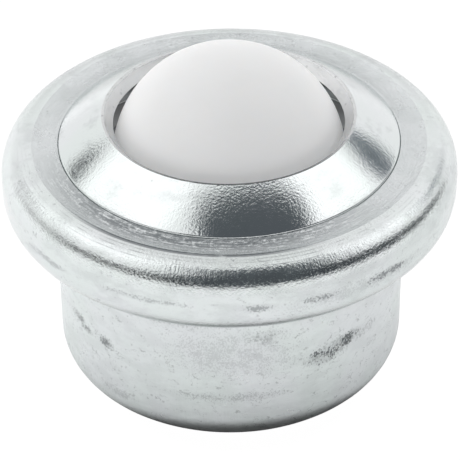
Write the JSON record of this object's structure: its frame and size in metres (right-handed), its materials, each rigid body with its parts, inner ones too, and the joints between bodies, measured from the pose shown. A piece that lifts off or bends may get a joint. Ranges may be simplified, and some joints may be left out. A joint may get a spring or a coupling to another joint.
{
  "type": "ball transfer unit",
  "caption": "Press-in ball transfer unit: a white plastic load ball runs on small steel balls in a pressed, zinc-plated steel housing with a rolled ring.",
  "frame": {"origin": "centre of the flat base of the housing", "axes": "+Z along the axis of symmetry, up from the base through the top of the load ball"},
  "size_m": [0.031, 0.031, 0.0236],
  "materials": {
    "housing_zinc": "zinc-plated pressed steel, satin and slightly smudged",
    "cap_zinc": "bright zinc-plated pressed steel, glossy with a fine grain",
    "seat_steel": "hardened steel, dark and oiled",
    "bearing_steel": "polished bearing steel",
    "ball_plastic": "white plastic, satin"
  },
  "bodies": {
    "housing": {"housing": "housing_zinc", "cap": "cap_zinc", "ball_seat": "seat_steel"},
    "support_balls": {"support_balls_1": "bearing_steel", "support_balls_2": "bearing_steel", "support_balls_3": "bearing_steel", "support_balls_4": "bearing_steel", "support_balls_5": "bearing_steel", "support_balls_6": "bearing_steel", "support_balls_7": "bearing_steel"},
    "load_ball": {"load_ball": "ball_plastic"}
  },
  "joints": [
    {"name": "support_orbit", "type": "hinge", "parent": "housing", "child": "support_balls", "pos_m": [0, 0, 0.01566], "axis": [0, 0, 1], "continuous": true},
    {"name": "ball_roll", "type": "hinge", "parent": "support_balls", "child": "load_ball", "pos_m": [0, 0, 0.01566], "axis": [1, 0, 0], "continuous": true}
  ]
}
